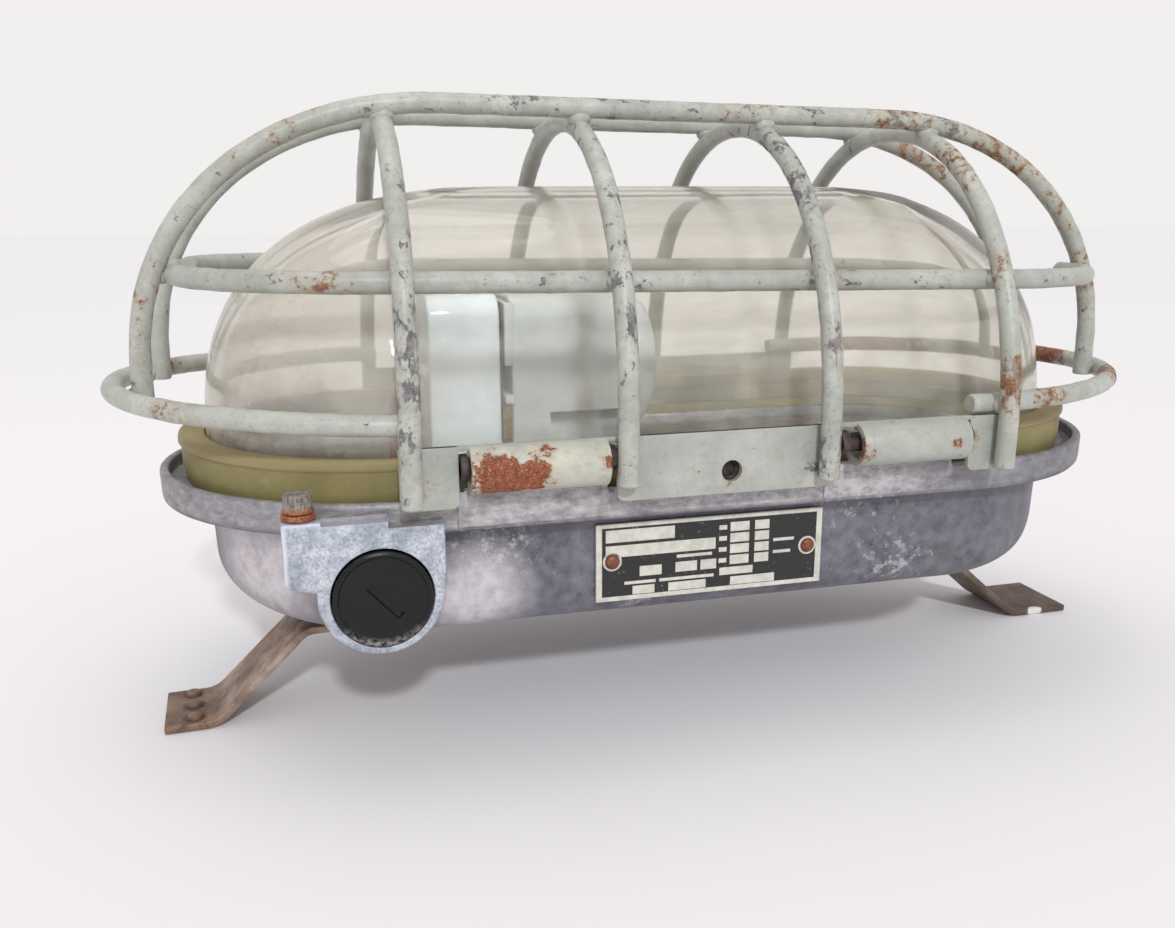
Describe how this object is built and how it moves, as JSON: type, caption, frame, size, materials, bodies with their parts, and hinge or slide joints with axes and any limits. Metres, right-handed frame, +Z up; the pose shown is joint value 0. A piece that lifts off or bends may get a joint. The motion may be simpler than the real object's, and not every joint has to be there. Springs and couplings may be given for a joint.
{
  "type": "bulkhead lamp",
  "caption": "Oval explosion-protected bulkhead lamp: cast tray on two bent strip feet, clear glass dome on a rubber gasket, ceramic lampholder, hinged wire guard.",
  "frame": {"origin": "middle of the overall box at the level of the feet's pads", "axes": "+Z up, +X towards the right when the cable boss and nameplate face the viewer, -Y to the front, where the boss and the guard's hinge are"},
  "size_m": [0.3228, 0.1568, 0.1767],
  "materials": {
    "casting": "sand cast, weathered, with pale oxide mottling",
    "guard_paint": "old pale grey-green paint, chipped to dark primer and rust",
    "rusty_steel": "strip steel under brown rust",
    "rusty_fixings": "rusted steel",
    "zinc_steel": "dull zinc plating",
    "brass": "dulled brass",
    "copper": "browned copper",
    "gasket_rubber": "olive brown, matt",
    "black_plastic": "moulded, slightly scuffed",
    "black_rubber": "matt",
    "ceramic": "white glazed porcelain",
    "clear_glass": "clear pressed glass, faintly green",
    "white_enamel": "pale enamel on sheet steel",
    "nameplate": "black fields on bare sheet, left blank",
    "lead_insulation": "heat-resistant sleeving"
  },
  "bodies": {
    "base": {"housing": "casting", "foot_left": "rusty_steel", "foot_right": "rusty_steel", "foot_screw_left": "zinc_steel", "foot_screw_right": "zinc_steel", "nameplate": "nameplate", "nameplate_rivet_1": "copper", "nameplate_rivet_2": "copper", "hinge_pin_left": "zinc_steel", "hinge_pin_right": "zinc_steel", "carrier_plate": "white_enamel", "carrier_screw_1": "zinc_steel", "carrier_screw_2": "zinc_steel", "terminal_block": "ceramic", "terminal_screw_1": "brass", "terminal_screw_2": "brass", "terminal_screw_3": "brass", "inner_earth_screw": "brass", "holder_rear": "ceramic", "holder_front": "ceramic", "holder_shell": "brass", "holder_contact": "brass", "terminal_clip_1": "brass", "terminal_clip_2": "brass", "holder_screw_1": "zinc_steel", "holder_screw_2": "zinc_steel", "lead_live": "lead_insulation", "lead_neutral": "lead_insulation"},
    "guard": {"guard_long_hoop_front": "guard_paint", "guard_long_hoop_back": "guard_paint", "guard_cross_hoop_1": "guard_paint", "guard_cross_hoop_2": "guard_paint", "guard_cross_hoop_3": "guard_paint", "guard_cross_hoop_4": "guard_paint", "guard_ring_left": "guard_paint", "guard_ring_right": "guard_paint", "guard_side_rod_front": "guard_paint", "guard_side_rod_back": "guard_paint", "hinge_strip": "guard_paint", "lock_strip": "guard_paint", "lock_nut": "zinc_steel"},
    "glass": {"glass_dome": "clear_glass", "gasket": "gasket_rubber"},
    "lock_washer": {"lock_washer": "zinc_steel"},
    "lock_screw": {"lock_screw": "zinc_steel"},
    "gland_seal": {"gland_seal": "black_rubber"},
    "gland_plug": {"gland_plug": "black_plastic"},
    "earth_washer": {"earth_washer": "rusty_fixings"},
    "earth_screw": {"earth_screw": "rusty_fixings"}
  },
  "joints": [
    {"name": "guard_hinge", "type": "hinge", "parent": "base", "child": "guard", "pos_m": [0, -0.0716, 0.0834], "axis": [1, 0, 0], "range_deg": [0, 110]},
    {"name": "glass_lift", "type": "slide", "parent": "base", "child": "glass", "axis": [0, 0, 1], "range_m": [0, 0.012]},
    {"name": "lock_screw_travel", "type": "slide", "parent": "guard", "child": "lock_washer", "axis": [0, 1, 0], "range_m": [0, 0.004]},
    {"name": "lock_screw_turn", "type": "hinge", "parent": "lock_washer", "child": "lock_screw", "pos_m": [0.00129, 0.072, 0.0784], "axis": [0, 1, 0], "range_deg": [0, 1800]},
    {"name": "gland_plug_travel", "type": "slide", "parent": "base", "child": "gland_seal", "axis": [0, -1, 0], "range_m": [0, 0.00706]},
    {"name": "gland_plug_turn", "type": "hinge", "parent": "gland_seal", "child": "gland_plug", "pos_m": [-0.09071, -0.072, 0.0515], "axis": [0, -1, 0], "range_deg": [0, 1800]},
    {"name": "earth_screw_travel", "type": "slide", "parent": "base", "child": "earth_washer", "axis": [0, 0, 1], "range_m": [0, 0.004]},
    {"name": "earth_screw_turn", "type": "hinge", "parent": "earth_washer", "child": "earth_screw", "pos_m": [-0.10991, -0.0668, 0.076], "axis": [0, 0, 1], "range_deg": [0, 1800]}
  ],
  "couplings": [
    {"joint": "lock_screw_turn", "follows": "lock_screw_travel", "rad_per_m": 7854},
    {"joint": "gland_plug_turn", "follows": "gland_plug_travel", "rad_per_m": 4449.8},
    {"joint": "earth_screw_turn", "follows": "earth_screw_travel", "rad_per_m": 7854}
  ]
}
